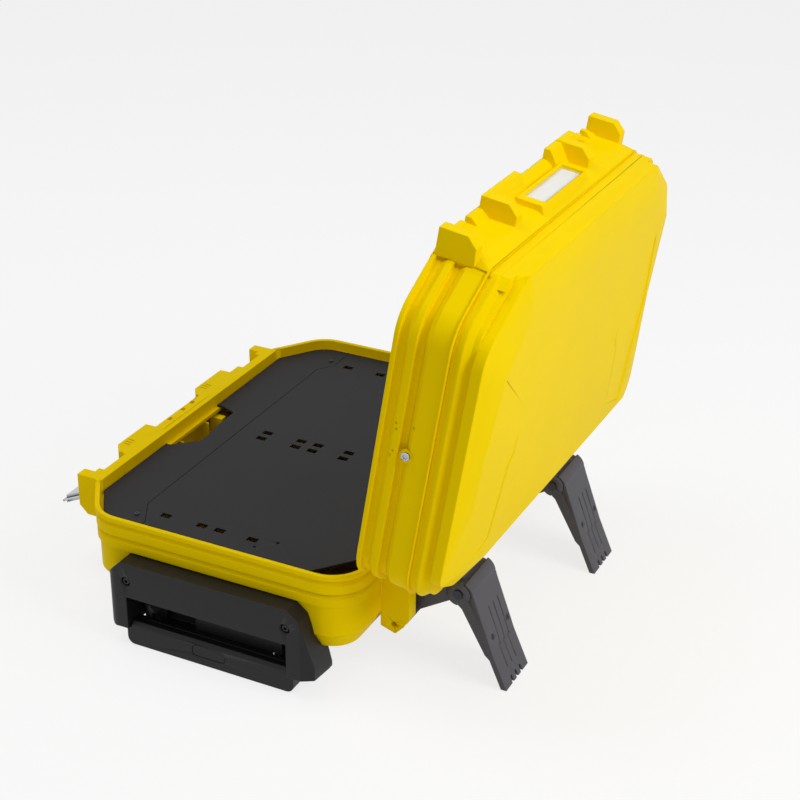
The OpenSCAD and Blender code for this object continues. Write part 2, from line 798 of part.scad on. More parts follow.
module latch_lever(x) {
    color(metal) at_lever(x) difference() {
        union() {
            // Top skin, two turned-down sides, and wings that the wire rests on
            block([-lever_half, -lever_length, 3.5], [lever_half, -bail_at - 5, 5]);
            for (s = [-1, 1]) {
                x0 = s > 0 ? lever_half - 1.5 : -lever_half;
                side_plate(x0, x0 + 1.5, [
                    [4, -4], [4, 4], [-bail_at - 4, 5], [-lever_length, 5], [-lever_length, -5], [-bail_at - 8, -5.5]
                ]);
            }
            wing = bail_half + bail_wire / 2;
            block([-wing, -lever_length, -bail_wire / 2 - 2.2], [wing, -lever_length + 4, -bail_wire / 2 - clear_gap]);
            block([-lever_half, -lever_length - 1.5, -bail_wire / 2 - 2.2], [lever_half, -lever_length, 5]);
        }
        bar_x(-lever_half - 1, lever_half + 1, 0, 0, 1.5 + running_gap);
        bar_x(-lever_half - 1, lever_half + 1, -bail_at, 0, bail_wire / 2 + running_gap);
    }
}

module latch_bail(x) {
    r = bail_wire / 2;
    color(metal) at_lever(x) {
        for (d = [0, bail_length]) bar_x(-bail_half - r, bail_half + r, -bail_at - d, 0, r);
        for (s = [-1, 1]) bar_y(-bail_at - bail_length, -bail_at, s * bail_half, 0, r);
    }
}

// Deck over the tub

deck_top = -deck_drop;
deck_bottom = -deck_drop - deck_thickness;

module deck_shape() {
    x1 = half_length - deck_inset;
    y1 = half_width - deck_inset;
    cut = [88, 71];
    difference() {
        polygon(case_outline(deck_inset));
        for (s = [-1, 1]) polygon([
            [s * (x1 + 1), y1 - cut[1]], [s * (x1 + 1), y1 + 1], [s * (x1 - cut[0]), y1 + 1]
        ]);
    }
}

// The dividing line, with its two ends stepping towards the middle of the deck
module strip_side(grow) {
    polygon([
        [-half_length, -half_width], [half_length, -half_width], [half_length, -deck_split + 22 + grow],
        [268, -deck_split + 22 + grow], [229, -deck_split + grow], [-218, -deck_split + grow],
        [-240, -deck_split + 16 + grow], [-half_length, -deck_split + 16 + grow]
    ]);
}

module deck_strip() {
    color(deck_grey) place() difference() {
        translate([0, 0, deck_bottom]) linear_extrude(deck_thickness) difference() {
            intersection() {
                deck_shape();
                strip_side(-0.3);
            }
            polygon([
                [deck_cut[0][0], -half_width], for (p = deck_cut) [p[0], p[1] - half_width],
                [deck_cut[len(deck_cut) - 1][0], -half_width]
            ]);
            for (p = strip_screw_places) translate(p) circle(d = 3 + 2 * thin, $fn = 32);
        }
    }
}

module strip_screws() {
    color(metal) place() for (p = strip_screw_places) translate([p[0], p[1], 0]) {
        translate([0, 0, deck_top + thin]) difference() {
            cylinder(h = 1.6, d = 6.4, $fn = 32);
            translate([0, 0, 0.7]) cylinder(h = 1, r = 1.7, $fn = 6);
        }
        translate([0, 0, deck_top - 12]) cylinder(h = 12.1, d = 3, $fn = 32);
    }
}

module deck_panel() {
    color(deck_grey) place() difference() {
        translate([0, 0, deck_bottom]) linear_extrude(deck_thickness) difference() {
            deck_shape();
            strip_side(0.3);
            for (x = slot_rows) for (y = slot_ys) {
                translate([x, y]) square(slot_size, center = true);
            }
            for (h = deck_holes) translate([h[0], h[1]]) circle(d = h[2], $fn = 32);
        }
    }
}

// Lid, drawn closed above the parting plane

// Label holder, from its far end to its near end along X, and from low to high in the closed lid
holder_x = [-80, 60];
holder_z = [23, 56];
card_x = [-74, 46];
holder_front = latch_wall - 8;

module label_room(grow, y0, y1) {
    block([card_x[0] - grow, y0, holder_z[0] + 4 - grow], [card_x[1] + grow, y1, holder_z[1] - 2 + grow]);
}

module lid_latch_wall() {
    intersection() {
        union() {
            latch_band(rim_gap, 30, flange_front);
            latch_band(29, frame_height - 1, latch_wall);
        }
        side_plate(-half_length, half_length, [
            [-half_width + 9, rim_gap], [flange_front, rim_gap], [flange_front, 8], [latch_wall, 18], [latch_wall, 50],
            [-half_width - 1.5, frame_height - 1], [-half_width + 9, frame_height - 1]
        ]);
    }
    for (x = fin_xs) fin(x - fin_thickness / 2, x + fin_thickness / 2, 3, 50, true);
    for (b = lid_blocks) side_plate(b[0], b[1], [
        [-half_width + 2, rim_gap + 1], [fin_front + 2, rim_gap + 1], [fin_front + 2, 10], [latch_wall, 25],
        [-half_width + 2, 25]
    ]);
    side_plate(holder_x[0], holder_x[1], [
        [-half_width, holder_z[0] - 4], [latch_wall, holder_z[0] - 4], [holder_front, holder_z[0]],
        [holder_front, holder_z[1]], [latch_wall + 3, holder_z[1] + 5], [-half_width, holder_z[1] + 5]
    ]);
}

// Hooks for the latch wires, in the gaps of the flange
module lid_catches() {
    for (x = latch_xs) side_plate(x - 10, x + 10, [
        [latch_wall + 1, 1], [latch_wall - 8.6, 1], [latch_wall - 8.6, 9], [latch_wall - 5.5, 9],
        [latch_wall - 5.5, 4], [latch_wall + 1, 4]
    ]);
}

seal_top = 3.6;
end_screw_y = 8;
end_screw_z = 39;
// Small round dimples in the lid's ends, as [y, z, how deep below the case's end]
end_dimples = [[-28.4, 21, 2], [-21, 22, 2], [7.4, 22.2, 2], [14.3, 19.5, 2.4], [-29, 41.8, 4]];

module lid_frame() {
    color(case_yellow) lid_pose() difference() {
        union() {
            difference() {
                union() {
                    case_block(rim_gap, frame_height, lid_core_inset);
                    for (band = lid_bands) case_block(band[0], band[1], band[2]);
                    for (slope = lid_slopes) case_slope(slope[0], slope[1], slope[2], slope[3]);
                    lid_latch_wall();
                }
                case_block(rim_gap - 1, seal_top + 0.1, rim_width);
                case_block(seal_top, frame_height + 1, lid_core_inset + wall);
                hinge_knuckles(0, clear_gap + 0.2);
                for (x = latch_xs) block([x - latch_seat, fin_front, rim_gap - 1], [x + latch_seat, latch_wall, 20]);
                label_room(0.4, holder_front - 1, latch_wall - 1.4);
                // Hollow behind the latch wall's pad
                side_plate(-pad_hollow, pad_hollow, [
                    [latch_wall + wall, 9], [latch_wall + wall, 50], [-half_width - 1.5 + wall, frame_height - 12],
                    [-half_width + 12, frame_height - 12], [-half_width + 12, 9]
                ]);
            }
            hinge_knuckles(1, 0);
            lid_catches();
            for (s = [-1, 1]) bar_x(s * (half_length - 4) - 4, s * (half_length - 4) + 4, end_screw_y, end_screw_z, 8);
        }
        hinge_bores(hinge_pin_d / 2 + running_gap);
        for (s = [-1, 1]) {
            x = s * (half_length - 7);
            bar_x(x - 8, x + 8, end_screw_y, end_screw_z, 2 + thin);
            for (p = end_dimples) {
                dimple_x = s * (half_length - p[2] + 4);
                bar_x(dimple_x - 4, dimple_x + 4, p[0], p[1], 1.5);
            }
        }
    }
}

module lid_seal() {
    color(rubber) lid_pose() difference() {
        case_block(rim_gap + 0.2, seal_top - 0.05, rim_width + 0.05);
        case_block(rim_gap - 1, seal_top + 1, rim_width + 2.6);
    }
}

// Outline of the cover's shoulder, its corners cut more than those of the bands below it
shoulder_inset = 2.5;
shoulder_corners = [
    [-211.5, -half_width - 1], [211.5, -half_width - 1], [half_length, -146], [half_length, 162], [250, 188],
    [150, 197], [-262, 200], [-half_length, 166], [-half_length, -146]
];
shoulder_radii = [24, 24, 50, 24, 50, 60, 30, 24, 50];

// Outline of the cover's face, from the latch side round the near end to the far end
face_points = [
    [199, face_slope - half_width], [239, -125], [262, -92], [264, -15], [257, 45], [240, 110],
    [222, half_width - face_bevel - 6], [190, half_width - face_bevel], [-190, half_width - face_bevel],
    [-240, 163], [-267, 106], [-273, 76], [-273, -22], [-272, -116], [-250, -139], [-199, face_slope - half_width]
];
// The face reaches further out at its far corner next to the hinge
far_corner = [[-200, 94], [-200, 170], [-283, 170], [-291, 158], [-293, 142], [-288, 94]];
// Smooth latch side of the cover, from the seam up to the shoulder
smooth_half = pad_half_length - 4;
// Outline of the shallow field at each end of the face
field = [[245, -97], [160, -23], [161, 2], [168, 37], [178, 45], [196, 140], [255, 160], [266, 0]];
face_marks = [[161, -100], [2, -128], [-238, -110], [162, 136], [-3, 128], [-240, 132]];

module shoulder_block(low, high, inset) {
    translate([0, 0, low]) linear_extrude(high - low) polygon(rounded(shoulder_corners, shoulder_radii, inset));
}

module cover_face(low, high, grow) {
    translate([0, 0, low]) linear_extrude(high - low) offset(delta = grow) polygon(face_points);
}

module face_mark(p) {
    translate([p[0], p[1], lid_height - 0.4]) rotate([0, 0, -18]) difference() {
        cylinder(h = 1, r = 9, $fn = 48);
        translate([0, 0, -1]) cylinder(h = 3, r = 8, $fn = 48);
        translate([-12, -9, -1]) cube([24, 18, 3]);
        translate([-12, 0, -1]) cube([24, 12, 3]);
    }
}

module lid_cover() {
    inner = lid_core_inset + wall;
    color(case_yellow) lid_pose() difference() {
        union() {
            case_block(frame_height, shoulder_low, lid_core_inset);
            shoulder_block(shoulder_low, cover_shoulder, shoulder_inset);
            for (band = cover_bands) case_block(band[0], band[1], band[2]);
            for (slope = cover_slopes) case_slope(slope[0], slope[1], slope[2], slope[3]);
            hull() {
                shoulder_block(cover_shoulder - thin, cover_shoulder, shoulder_inset);
                cover_face(lid_height - thin, lid_height, 0);
            }
            hull() {
                shoulder_block(cover_shoulder - thin, cover_shoulder, shoulder_inset);
                translate([0, 0, lid_height - thin]) linear_extrude(thin) polygon(far_corner);
            }
            // Latch side, smooth from the seam to the shoulder
            translate([0, 0, frame_height]) linear_extrude(shoulder_low - frame_height) polygon([
                [-smooth_half, -half_width + 1.5], [smooth_half, -half_width + 1.5],
                [smooth_half + 14, -half_width + 12], [-smooth_half - 14, -half_width + 12]
            ]);
        }
        case_block(frame_height - 1, shoulder_low - wall, inner);
        shoulder_block(shoulder_low - wall - thin, cover_shoulder - wall, inner);
        hull() {
            shoulder_block(cover_shoulder - wall - thin, cover_shoulder - wall, inner);
            cover_face(lid_height - wall - thin, lid_height - wall, -wall);
        }
        for (s = [-1, 1]) scale([s, 1, 1]) translate([160, 0, lid_height]) rotate([0, 1.1, 0])
            linear_extrude(4) polygon([for (p = field) [p[0] - 160, p[1]]]);
        for (p = face_marks) face_mark(p);
    }
}

module lid_end_screws() {
    color(metal) lid_pose() for (s = [-1, 1]) {
        head = s * (half_length + 1.1);
        shank = s * (half_length - 5.5);
        difference() {
            bar_x(head - 1, head + 1, end_screw_y, end_screw_z, 5.4);
            translate([s * (half_length + 2.1), end_screw_y, end_screw_z]) rotate([0, 90, 0])
                cylinder(h = 2, r = 3.2, center = true, $fn = 6);
        }
        bar_x(shank - 6.5, shank + 6.5, end_screw_y, end_screw_z, 2);
    }
}

// Screws that hold the cover, a little inside the face's shallow marks
cover_screw_places = 0.94 * face_marks;

module cover_screws() {
    color(metal) lid_pose() for (p = cover_screw_places) translate([p[0], p[1], 0]) {
        difference() {
            translate([0, 0, lid_height - wall - 14]) cylinder(h = 14 - 0.2, r = 4, $fn = 32);
            translate([0, 0, lid_height - wall - 15]) cylinder(h = 4, r = 2, $fn = 32);
        }
    }
}

module label_card() {
    color("white") lid_pose() label_room(0, latch_wall - 2.6, latch_wall - 1.5);
}

module label_window() {
    color([0.9, 0.9, 0.9, 0.4]) lid_pose() label_room(0.3, latch_wall - 4.2, latch_wall - 2.7);
}

// Legs: an arm carried by the base, and a hollow blade that folds over the arm

function leg_dir() = unit(foot - knuckle);
function leg_normal() = left(leg_dir());

module leg_arm(cx) {
    half = arm_width / 2;
    color(leg_grey) place() difference() {
        union() {
            side_plate(cx - half, cx + half, [
                for (p = [[-5.5, -9.5], [9.5, -6.5], [22, 11.5]]) arm_pivot + p,
                for (p = [[-12, -16.5], [0, -3], [11, -1], [4, 15.5], [2, 32.8], [-10, 32.8], [-12, 27]]) knuckle + p,
                for (p = [[22, 39], [-9.5, 7.5]]) arm_pivot + p
            ]);
            bar_x(cx - lug_inner + clear_gap, cx + lug_inner - clear_gap, arm_pivot[0], arm_pivot[1], arm_pivot_r);
            bar_x(cx - half, cx + half, knuckle[0], knuckle[1], knuckle_r_leg);
        }
        bar_x(cx - 60, cx + 60, arm_pivot[0], arm_pivot[1], leg_pin_d / 2 + running_gap);
        bar_x(cx - 60, cx + 60, knuckle[0], knuckle[1], leg_pin_d / 2 + running_gap);
    }
}

module knuckle_pin(cx) {
    reach = blade_width / 2;
    color(metal) place() {
        bar_x(cx - reach, cx + reach, knuckle[0], knuckle[1], leg_pin_d / 2);
        for (s = [-1, 1]) {
            x0 = s > 0 ? cx + reach : cx - reach - 2;
            bar_x(x0, x0 + 2, knuckle[0], knuckle[1], leg_pin_d / 2 + 2);
        }
    }
}

// Point of the blade at a distance along it from the knuckle and a distance out from its middle line
function on_blade(along, out) = knuckle + along * leg_dir() + out * leg_normal();

// Angles where the skin leaves the knuckle and where it ends above it
skin_start = 10;
crown = 64;
blade_skin = 4;
blade_out = 9;
blade_in = 4;
skin_round = knuckle_r_leg + clear_gap;
skin_top = (skin_round + 3.6) * [cos(skin_start), sin(skin_start)];
skin_bend = 74;

// How far the outer skin stands out at a distance along the blade
function skin_out(along) =
    let (start = skin_top * leg_dir(), out = skin_top * leg_normal())
    out + (blade_out - out) * (along - start) / (skin_bend - start);

module leg_blade(cx) {
    x0 = cx - blade_width / 2;
    x1 = cx + blade_width / 2;
    web_in = blade_out - blade_skin;
    foot_y = foot[0];
    color(leg_grey) place() difference() {
        union() {
            // Outer skin, from over the knuckle to the foot
            side_plate(x0, x1, [
                for (a = [crown : -6 : skin_start]) knuckle + skin_round * [cos(a), sin(a)],
                for (a = [skin_start : 6 : crown]) knuckle + (skin_round + 3.6) * [cos(a), sin(a)]
            ]);
            side_plate(x0, x1, [
                on_blade(17.5, web_in), for (a = [-40 : 5 : skin_start]) knuckle + skin_round * [cos(a), sin(a)],
                knuckle + skin_top, on_blade(skin_bend, blade_out),
                on_blade(86, blade_out - 2), [foot_y + 3, floor_z], [foot_y - 5, floor_z],
                on_blade(86, web_in - 3), on_blade(skin_bend, web_in)
            ]);
            // Side flanges with the knuckle's ears
            for (s = [-1, 1]) {
                f0 = s > 0 ? x1 - flange_thickness : x0;
                side_plate(f0, f0 + flange_thickness, [
                    on_blade(0, 13), on_blade(16, blade_out), on_blade(86, blade_out - 2), [foot_y + 2, floor_z],
                    [foot_y - 5, floor_z], on_blade(94, -1), on_blade(86, -blade_in), on_blade(20, -blade_in - 1),
                    on_blade(0, -13)
                ]);
                bar_x(f0, f0 + flange_thickness, knuckle[0], knuckle[1], knuckle_r_leg);
            }
        }
        bar_x(x0 - 1, x1 + 1, knuckle[0], knuckle[1], leg_pin_d / 2 + thin);
        // Long grooves down the skin, which end between the teeth of the foot
        for (x = groove_xs) {
            blade_groove(cx + x);
            tooth = cx + x + groove_jog;
            block([tooth - 2, foot_y - 20, floor_z - 1], [tooth + 2, foot_y + 20, floor_z + 9]);
        }
        for (k = [0, 1]) blade_screw_hole(cx, k);
    }
}

// Distances of the grooves from the blade's middle, and how far they step aside half way down
groove_xs = [7.5, -5.5, -18.5];
groove_jog = 4;
groove_step = 84;

module blade_groove(x) {
    side_plate(x - 1, x + 1, [
        on_blade(34, skin_out(34) + 1), on_blade(34, skin_out(34) - 1.2), on_blade(skin_bend, blade_out - 1.2),
        on_blade(groove_step + 2, blade_out - 3.2), on_blade(groove_step + 2, blade_out + 1)
    ]);
    side_plate(x - 1, x + groove_jog + 1, [
        on_blade(groove_step, blade_out + 1), on_blade(groove_step, blade_out - 2.9),
        on_blade(groove_step + 2, blade_out - 3.2), on_blade(groove_step + 2, blade_out + 1)
    ]);
    side_plate(x + groove_jog - 1, x + groove_jog + 1, [
        on_blade(groove_step, blade_out + 1), on_blade(groove_step, blade_out - 2.9),
        on_blade(groove_step + 2, blade_out - 3.2), on_blade(118, blade_out - 5.9), on_blade(118, blade_out + 1)
    ]);
}

blade_screw_spots = [[20, 70], [-26, 68]];

// Sunk seat of a screw's head, and the hole for its shank
module blade_screw_hole(cx, k) {
    at_blade_screw(cx, k) {
        cylinder(h = 6, r = 4, $fn = 32);
        translate([0, 0, -12]) cylinder(h = 13, r = 2.2, $fn = 32);
    }
}

module at_blade_screw(cx, k) {
    spot = blade_screw_spots[k];
    p = on_blade(spot[1], skin_out(spot[1]) - 1.3);
    translate([cx + spot[0], p[0], p[1]]) rotate([-blade_tilt, 0, 0]) children();
}

// Angle that turns +Z onto the blade's outward normal
blade_tilt = atan2(leg_normal()[0], leg_normal()[1]);

module blade_screws(cx) {
    color(metal) place() for (k = [0, 1]) at_blade_screw(cx, k) {
        translate([0, 0, thin]) difference() {
            cylinder(h = 1.4, r = 3.6, $fn = 32);
            translate([0, 0, 0.6]) cylinder(h = 1, r = 1.9, $fn = 6);
        }
        translate([0, 0, -7]) cylinder(h = 7.5, r = 2.1, $fn = 32);
    }
}

base_shell();
handle_housing();
housing_screws();
outer_tubes();
axle_carrier();
carrier_screws();
axle();
axle_caps();
leg_pivot_pins();
hinge_pins();
latch_plates();
latch_rivets();
deck_strip();
strip_screws();
deck_panel();
lid_frame();
lid_cover();
lid_seal();
lid_end_screws();
cover_screws();
label_card();
label_window();
latch_lever(latch_x);  // latch_lever_1
latch_bail(latch_x);  // latch_bail_1
latch_lever(-latch_x);  // latch_lever_2
latch_bail(-latch_x);  // latch_bail_2
grip_front();
grip_rear();
inner_tubes();
grip_screws();
release_button();
release_rods();
wheel_hub(-1);  // wheel_hub_1
tyre(-1);  // tyre_1
wheel_hub(1);  // wheel_hub_2
tyre(1);  // tyre_2
leg_arm(leg_x);  // leg_arm_1
knuckle_pin(leg_x);  // knuckle_pin_1
leg_blade(leg_x);  // leg_blade_1
blade_screws(leg_x);  // blade_screws_1
leg_arm(-far_leg_x);  // leg_arm_2
knuckle_pin(-far_leg_x);  // knuckle_pin_2
leg_blade(-far_leg_x);  // leg_blade_2
blade_screws(-far_leg_x);  // blade_screws_2
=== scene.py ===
# %% [markdown]
# # A wheeled tool case with folding legs
#
# The case lies flat on the floor with its lid open. The lid leans on two folding legs, and the
# tub is closed by a charcoal deck. The solid model already holds every piece at its real size, so
# this lesson is about looks: a camera, soft light, moulded edges and a finish for each material.

# %% Load the solid model
import json
import math

import bpy
import bmesh
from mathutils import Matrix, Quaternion, Vector


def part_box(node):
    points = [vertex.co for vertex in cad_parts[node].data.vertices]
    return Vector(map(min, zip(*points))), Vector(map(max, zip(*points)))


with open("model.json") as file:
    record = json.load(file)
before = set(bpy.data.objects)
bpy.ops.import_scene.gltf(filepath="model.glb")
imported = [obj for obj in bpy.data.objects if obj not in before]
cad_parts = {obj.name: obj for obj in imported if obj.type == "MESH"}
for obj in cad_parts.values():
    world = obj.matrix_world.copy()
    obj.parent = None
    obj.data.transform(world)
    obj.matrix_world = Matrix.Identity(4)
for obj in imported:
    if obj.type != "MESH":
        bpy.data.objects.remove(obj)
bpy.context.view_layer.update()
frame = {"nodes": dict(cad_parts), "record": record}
nodes = frame["nodes"]

# %% [markdown]
# ## Where things are
#
# The solid model was drawn round the middle of the tub, with zero height at the plane where lid
# and tub meet. The same zero is handy here, so one helper turns those millimetres into the
# metres of the scene. It could take fixed offsets, but it reads the axle and the hinge pins
# instead, so that it follows the solids if they ever change.

# %% Millimetres of the case to metres of the scene
MM = 0.001
STAND_HEIGHT = 168
AXLE_X = -259.5
HINGE_Y = 206
axle_low, axle_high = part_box("axle")
pin_low, pin_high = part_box("hinge_pins")
MIDDLE_X = AXLE_X - (axle_low.x + axle_high.x) / 2 / MM
MIDDLE_Y = HINGE_Y - (pin_low.y + pin_high.y) / 2 / MM


def case(x, y, z):
    """A point of the case, in millimetres from the middle of its rim, as a point of the scene."""
    return Vector(((x - MIDDLE_X) * MM, (y - MIDDLE_Y) * MM, (z + STAND_HEIGHT) * MM))


print("the middle of the rim is at", case(0, 0, 0))

# %% [markdown]
# ## Camera
#
# The camera stands at the near end of the case on the hinge side, and looks down at about 27
# degrees. A long lens keeps the far end from shrinking much. It could be aimed with a tracking
# constraint, but a plain rotation from its azimuth and elevation is easier to check by eye.

# %% Camera
CAMERA_AZIMUTH = math.radians(116.408)
CAMERA_ELEVATION = math.radians(26.628)
CAMERA_ROLL = math.radians(0.425)
CAMERA_LENS = 78.75
CAMERA_PLACE = (1827.14, 1027.16, 1112.57)
CAMERA_DEPTH = 50


def add_camera():
    """A long lens that looks back at the case along its azimuth and elevation."""
    data = bpy.data.cameras.new("camera")
    data.lens = CAMERA_LENS
    data.clip_end = CAMERA_DEPTH
    camera = bpy.data.objects.new("camera", data)
    bpy.context.scene.collection.objects.link(camera)
    away = Vector((
        math.sin(CAMERA_AZIMUTH) * math.cos(CAMERA_ELEVATION),
        -math.cos(CAMERA_AZIMUTH) * math.cos(CAMERA_ELEVATION),
        math.sin(CAMERA_ELEVATION),
    ))
    camera.rotation_mode = "QUATERNION"
    camera.rotation_quaternion = (-away).to_track_quat("-Z", "Y") @ Quaternion((0, 0, 1), CAMERA_ROLL)
    camera.location = case(*CAMERA_PLACE)
    bpy.context.scene.camera = camera
    print("the camera is at", camera.location)


add_camera()

# %% [markdown]
# ## Light
#
# In a product picture the lid's broad face is the brightest side, the top comes next, and the
# end wall is a good third darker. So the key lamp stands on the hinge side, where the face looks,
# and a weaker one shines down from over the latch side on the deck. One sun would be simpler, but
# large soft lamps keep the shadows of the ribs soft, as a studio does. An even sky fills the rest.

# %% Lamps
KEY_LAMP = {"place": (0.25, 2.3, 2.0), "aim": (0, 0.2, 0.4), "size": 1.3, "power": 38}
TOP_LAMP = {"place": (0.3, -0.9, 2.9), "aim": (0, 0, 0.1), "size": 1.4, "power": 24}


def add_lamp(name, place, aim, size, power):
    """A square soft lamp that points at its aim."""
    data = bpy.data.lights.new(name, "AREA")
    data.shape = "SQUARE"
    data.size = size
    data.energy = power
    lamp = bpy.data.objects.new(name, data)
    bpy.context.scene.collection.objects.link(lamp)
    lamp.location = place
    lamp.rotation_euler = (Vector(aim) - Vector(place)).to_track_quat("-Z", "Y").to_euler()
    print(name, "has", power, "watts")


add_lamp("key_lamp", **KEY_LAMP)
add_lamp("top_lamp", **TOP_LAMP)

# %% [markdown]
# ## Nodes for numbers
#
# Both the sky and the floor ask which kind of ray looks at them, and the edges further down ask
# how long and how sharp they are. All of that is arithmetic in a node tree, so one helper makes
# the math nodes. It could be written out each time, but the links would hide what is worked out.


# %% A math node
def add_math(tree, operation, first, second):
    """The result of a math node, whose two inputs are each a socket or a number."""
    node = tree.nodes.new("ShaderNodeMath")
    node.operation = operation
    for entry, value in zip(node.inputs, (first, second)):
        if isinstance(value, bpy.types.NodeSocket):
            tree.links.new(value, entry)
        else:
            entry.default_value = value
    return node.outputs[0]


# %% [markdown]
# ## Sky
#
# The sky is a plain colour. The camera, mirrors and clear pieces see it as white, and everything
# else is lit by it at a lower strength. A Light Path node can tell those rays apart, which saves
# a separate backdrop.

# %% Shaders that the sky and the floor share
WHITE = (1, 1, 1, 1)


def add_white_rays(tree):
    """One where a ray comes from the camera, a mirror or a clear piece, and zero elsewhere."""
    path = tree.nodes.new("ShaderNodeLightPath")
    seen = add_math(tree, "MAXIMUM", path.outputs["Is Camera Ray"], path.outputs["Is Glossy Ray"])
    return add_math(tree, "MAXIMUM", seen, path.outputs["Is Transmission Ray"])


def add_glow(tree, kind, strength):
    """A white shader that gives light of its own."""
    glow = tree.nodes.new(kind)
    glow.inputs["Color"].default_value = WHITE
    glow.inputs["Strength"].default_value = strength
    return glow


def show_mix(tree, out, share, plain, glow):
    """Sends two shaders to the output, mixed by the share of the second."""
    mix = tree.nodes.new("ShaderNodeMixShader")
    tree.links.new(share, mix.inputs["Fac"])
    tree.links.new(plain.outputs[0], mix.inputs[1])
    tree.links.new(glow.outputs[0], mix.inputs[2])
    tree.links.new(mix.outputs[0], out.inputs["Surface"])


# %% Sky
SKY_STRENGTH = 0.37


def light_sky():
    """An even sky that shows as white."""
    world = bpy.data.worlds.new("sky")
    bpy.context.scene.world = world
    world.use_nodes = True
    tree = world.node_tree
    tree.nodes.clear()
    out = tree.nodes.new("ShaderNodeOutputWorld")
    soft = add_glow(tree, "ShaderNodeBackground", SKY_STRENGTH)
    white = add_glow(tree, "ShaderNodeBackground", 1)
    show_mix(tree, out, add_white_rays(tree), soft, white)


light_sky()
print("the sky lights with strength", SKY_STRENGTH)

# %% [markdown]
# ## Floor
#
# The floor is a pale matt sheet. Lit only by the lamps it would turn grey at its edges, and a
# floor that only glows would lose the shadow that tells the eye where the case stands. So for
# the camera it is nearly four parts glow to one part matt sheet.

# %% Floor
FLOOR_GLOW = 0.78
FLOOR_TONE = 0.9
FLOOR_HALF = 8
FLOOR_DROP = 0.5 * MM


def floor_finish():
    """A pale matt sheet with some glow of its own towards the camera."""
    material = bpy.data.materials.new("floor_white")
    material.use_nodes = True
    tree = material.node_tree
    tree.nodes.clear()
    out = tree.nodes.new("ShaderNodeOutputMaterial")
    sheet = tree.nodes.new("ShaderNodeBsdfDiffuse")
    sheet.inputs["Color"].default_value = (FLOOR_TONE, FLOOR_TONE, FLOOR_TONE, 1)
    glow = add_glow(tree, "ShaderNodeEmission", 1)
    share = add_math(tree, "MULTIPLY", add_white_rays(tree), FLOOR_GLOW)
    show_mix(tree, out, share, sheet, glow)
    return material


def add_floor():
    """A wide flat floor just under zero height."""
    mesh = bpy.data.meshes.new("floor")
    form = bmesh.new()
    bmesh.ops.create_grid(form, x_segments=1, y_segments=1, size=FLOOR_HALF)
    form.to_mesh(mesh)
    form.free()
    floor = bpy.data.objects.new("floor", mesh)
    bpy.context.scene.collection.objects.link(floor)
    floor.location.z = -FLOOR_DROP
    mesh.materials.append(floor_finish())


add_floor()
bpy.context.scene.view_settings.view_transform = "Standard"
print("the floor is", 2 * FLOOR_HALF, "metres wide")

# %% [markdown]
# ## Moulded plastic
#
# Every big piece of this case is moulded. A mould leaves a fine spark-eroded grain that breaks up
# highlights, and the melt leaves slow clouds of gloss and tone that only show at a glance. Both
# come from noise in the object's own space, which needs no unwrapping and stays put from any
# angle. A picture texture would need seams on every rib.

# %% A clean shader and noise
TONE_FROM = 0.35
TONE_TO = 0.68


def shader(name):
    """A new material, its node tree and its main shader."""
    material = bpy.data.materials.new(name)
    material.use_nodes = True
    tree = material.node_tree
    return material, tree, tree.nodes["Principled BSDF"]


def add_noise(tree, scale, detail, stretch=(1, 1, 1)):
    """Noise over the object's own space, in metres, drawn out along an axis by a small stretch."""
    place = tree.nodes.new("ShaderNodeTexCoord")
    noise = tree.nodes.new("ShaderNodeTexNoise")
    noise.inputs["Scale"].default_value = scale
    noise.inputs["Detail"].default_value = detail
    if stretch == (1, 1, 1):
        tree.links.new(place.outputs["Object"], noise.inputs["Vector"])
        return noise
    spread = tree.nodes.new("ShaderNodeMapping")
    spread.inputs["Scale"].default_value = stretch
    tree.links.new(place.outputs["Object"], spread.inputs["Vector"])
    tree.links.new(spread.outputs["Vector"], noise.inputs["Vector"])
    return noise


# %% What noise can drive
def add_tones(tree, noise, dark, light):
    """Colour that wanders between two tones."""
    tone = tree.nodes.new("ShaderNodeValToRGB")
    low, high = tone.color_ramp.elements
    low.position, high.position = TONE_FROM, TONE_TO
    low.color = (*dark, 1)
    high.color = (*light, 1)
    tree.links.new(noise.outputs["Fac"], tone.inputs["Fac"])
    return tone.outputs["Color"]


def add_range(tree, noise, low, high):
    """A number that wanders between two values."""
    span = tree.nodes.new("ShaderNodeMapRange")
    span.inputs["To Min"].default_value = low
    span.inputs["To Max"].default_value = high
    tree.links.new(noise.outputs["Fac"], span.inputs["Value"])
    return span.outputs["Result"]


def add_relief(tree, noise, depth, strength):
    """Small relief from noise, its depth in metres."""
    bump = tree.nodes.new("ShaderNodeBump")
    bump.inputs["Strength"].default_value = strength
    bump.inputs["Distance"].default_value = depth
    tree.links.new(noise.outputs["Fac"], bump.inputs["Height"])
    return bump.outputs["Normal"]


# %% [markdown]
# ## The four plastics
#
# The shells are a deep yellow, the deck a dry charcoal, the handle's housing and grip a black
# with some gloss, and the legs a cooler grey. One recipe with other numbers makes all four,
# because they come from the same kind of press. White gloss would wash the yellow out from a low
# angle, so its small reflection is tinted too.

# %% Moulded plastic in its colours
PLASTIC_IOR = 1.5
CLOUD_SCALE = 7
CLOUD_DETAIL = 3
GLOSSIER = 0.05
DULLER = 0.07
GRAIN_DETAIL = 2
GRAIN_STRENGTH = 0.3


